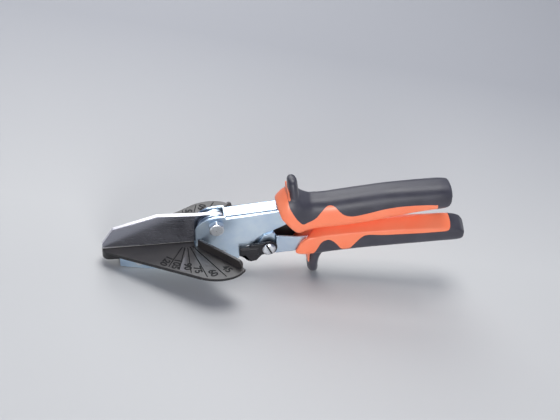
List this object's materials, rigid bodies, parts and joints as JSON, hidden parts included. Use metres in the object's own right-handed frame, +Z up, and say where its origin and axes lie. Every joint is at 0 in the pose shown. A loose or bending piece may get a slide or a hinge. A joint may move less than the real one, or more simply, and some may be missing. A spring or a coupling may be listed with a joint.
{
  "type": "mitre shears",
  "caption": "Hand shears with a straight blade closing on a table with angle fences, for cutting trim and ducting at set mitre angles, with soft grips and a catch.",
  "frame": {"origin": "centre of the bounding box in plan, on the floor it stands on", "axes": "+X from the blade's tip to the handles, +Y to the far side, +Z up; the tool stands on its front arms and the lower guard, so its table is pitched about 10 degrees"},
  "size_m": [0.2538, 0.0834, 0.0867],
  "materials": {
    "zinc_plated_steel": "blue-white zinc plating, satin",
    "polished_steel": "polished",
    "bright_steel": "bright",
    "spring_steel": "drawn wire",
    "brass": "turned",
    "anvil_plastic": "fine grained moulding",
    "latch_plastic": "moulded",
    "orange_plastic": "satin moulding",
    "soft_grip": "soft, slightly satin"
  },
  "bodies": {
    "frame": {"body_shell": "zinc_plated_steel", "anvil_table": "anvil_plastic", "pivot_bolt": "bright_steel", "pivot_nut": "bright_steel", "thrust_washer_near": "bright_steel", "thrust_washer_far": "bright_steel", "anvil_pin_front": "bright_steel", "anvil_pin_rear": "bright_steel", "stop_pin": "bright_steel", "upper_handle_core": "orange_plastic", "upper_grip": "soft_grip", "upper_tang_pin": "bright_steel"},
    "lever": {"lever_channel": "zinc_plated_steel", "blade": "polished_steel", "pivot_bushing": "brass", "torsion_spring": "spring_steel", "spring_bush": "bright_steel", "blade_rivet_front": "bright_steel", "blade_rivet_rear": "bright_steel", "lower_handle_core": "orange_plastic", "lower_grip": "soft_grip", "lower_tang_pin": "bright_steel", "latch_screw": "bright_steel", "latch_nut": "bright_steel"},
    "latch": {"latch": "latch_plastic"}
  },
  "joints": [
    {"name": "lever_pivot", "type": "hinge", "parent": "frame", "child": "lever", "pos_m": [-0.0528, 0, 0.04061], "axis": [0, 1, 0], "range_deg": [0, 26]},
    {"name": "latch_pivot", "type": "hinge", "parent": "lever", "child": "latch", "pos_m": [-0.01344, 0, 0.0258], "axis": [0, -1, 0], "range_deg": [0, 35]}
  ]
}
